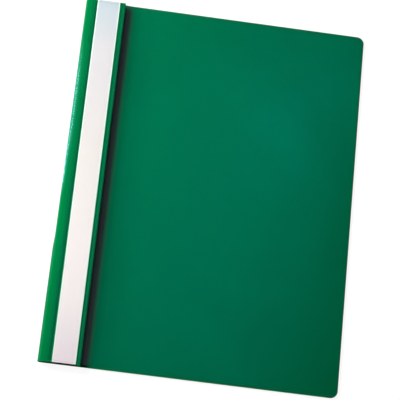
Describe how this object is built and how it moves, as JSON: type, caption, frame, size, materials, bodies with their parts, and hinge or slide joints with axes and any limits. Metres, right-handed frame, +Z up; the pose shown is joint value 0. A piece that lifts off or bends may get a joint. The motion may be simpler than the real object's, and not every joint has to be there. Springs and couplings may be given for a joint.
{
  "type": "report file",
  "caption": "Slim plastic report file: coloured back cover, spine and flap, clear front cover, paper title strip in a full-height pocket, and a two-prong steel fastener.",
  "frame": {"origin": "centre of the outline on the underside of the back cover, the file lying closed on its back cover", "axes": "+X from the filing edge (spine) to the opening edge, +Y up the page towards the top edge, +Z up out of the front cover"},
  "size_m": [0.233, 0.31, 0.0047],
  "materials": {
    "coloured_sheet": "embossed polypropylene sheet, green",
    "clear_film": "clear glossy polypropylene film",
    "title_paper": "plain white card strip, blank",
    "tinned_steel": "tinned sheet steel"
  },
  "bodies": {
    "back": {"back_cover": "coloured_sheet", "filing_strip": "coloured_sheet", "fastener_base": "tinned_steel"},
    "spine": {"spine": "coloured_sheet"},
    "flap": {"front_flap": "coloured_sheet", "title_pocket": "clear_film"},
    "title": {"title_strip": "title_paper"},
    "cover": {"front_cover": "clear_film"},
    "upper_prong": {"prong_top": "tinned_steel"},
    "lower_prong": {"prong_bottom": "tinned_steel"},
    "bar": {"compressor_bar": "tinned_steel"},
    "upper_slider": {"slider_top": "tinned_steel"},
    "lower_slider": {"slider_bottom": "tinned_steel"}
  },
  "joints": [
    {"name": "spine_fold", "type": "hinge", "parent": "back", "child": "spine", "pos_m": [-0.1154, 0, 0.00035], "axis": [0, 1, 0], "range_deg": [-85, 0]},
    {"name": "flap_fold", "type": "hinge", "parent": "spine", "child": "flap", "pos_m": [-0.1154, 0, 0.0031], "axis": [0, 1, 0], "range_deg": [-85, 0]},
    {"name": "cover_crease", "type": "hinge", "parent": "flap", "child": "cover", "pos_m": [-0.08347, 0, 0.00434], "axis": [0, -1, 0], "range_deg": [0, 170]},
    {"name": "title_slide", "type": "slide", "parent": "flap", "child": "title", "axis": [0, 1, 0], "range_m": [0, 0.31]},
    {"name": "upper_prong_fold", "type": "hinge", "parent": "back", "child": "upper_prong", "pos_m": [-0.097, 0.04, 0.00185], "axis": [-1, 0, 0], "range_deg": [0, 90]},
    {"name": "lower_prong_fold", "type": "hinge", "parent": "back", "child": "lower_prong", "pos_m": [-0.097, -0.04, 0.00185], "axis": [1, 0, 0], "range_deg": [0, 90]},
    {"name": "bar_lift", "type": "slide", "parent": "back", "child": "bar", "axis": [0, 0, 1], "range_m": [0, 0.006]},
    {"name": "upper_slider_slide", "type": "slide", "parent": "bar", "child": "upper_slider", "axis": [0, 1, 0], "range_m": [0, 0.024]},
    {"name": "lower_slider_slide", "type": "slide", "parent": "bar", "child": "lower_slider", "axis": [0, -1, 0], "range_m": [0, 0.024]}
  ],
  "couplings": [
    {"joint": "flap_fold", "follows": "spine_fold", "ratio": 1},
    {"joint": "upper_prong_fold", "follows": "spine_fold", "ratio": -1.0588},
    {"joint": "lower_prong_fold", "follows": "spine_fold", "ratio": -1.0588},
    {"joint": "bar_lift", "follows": "spine_fold", "m_per_rad": -0.004}
  ]
}
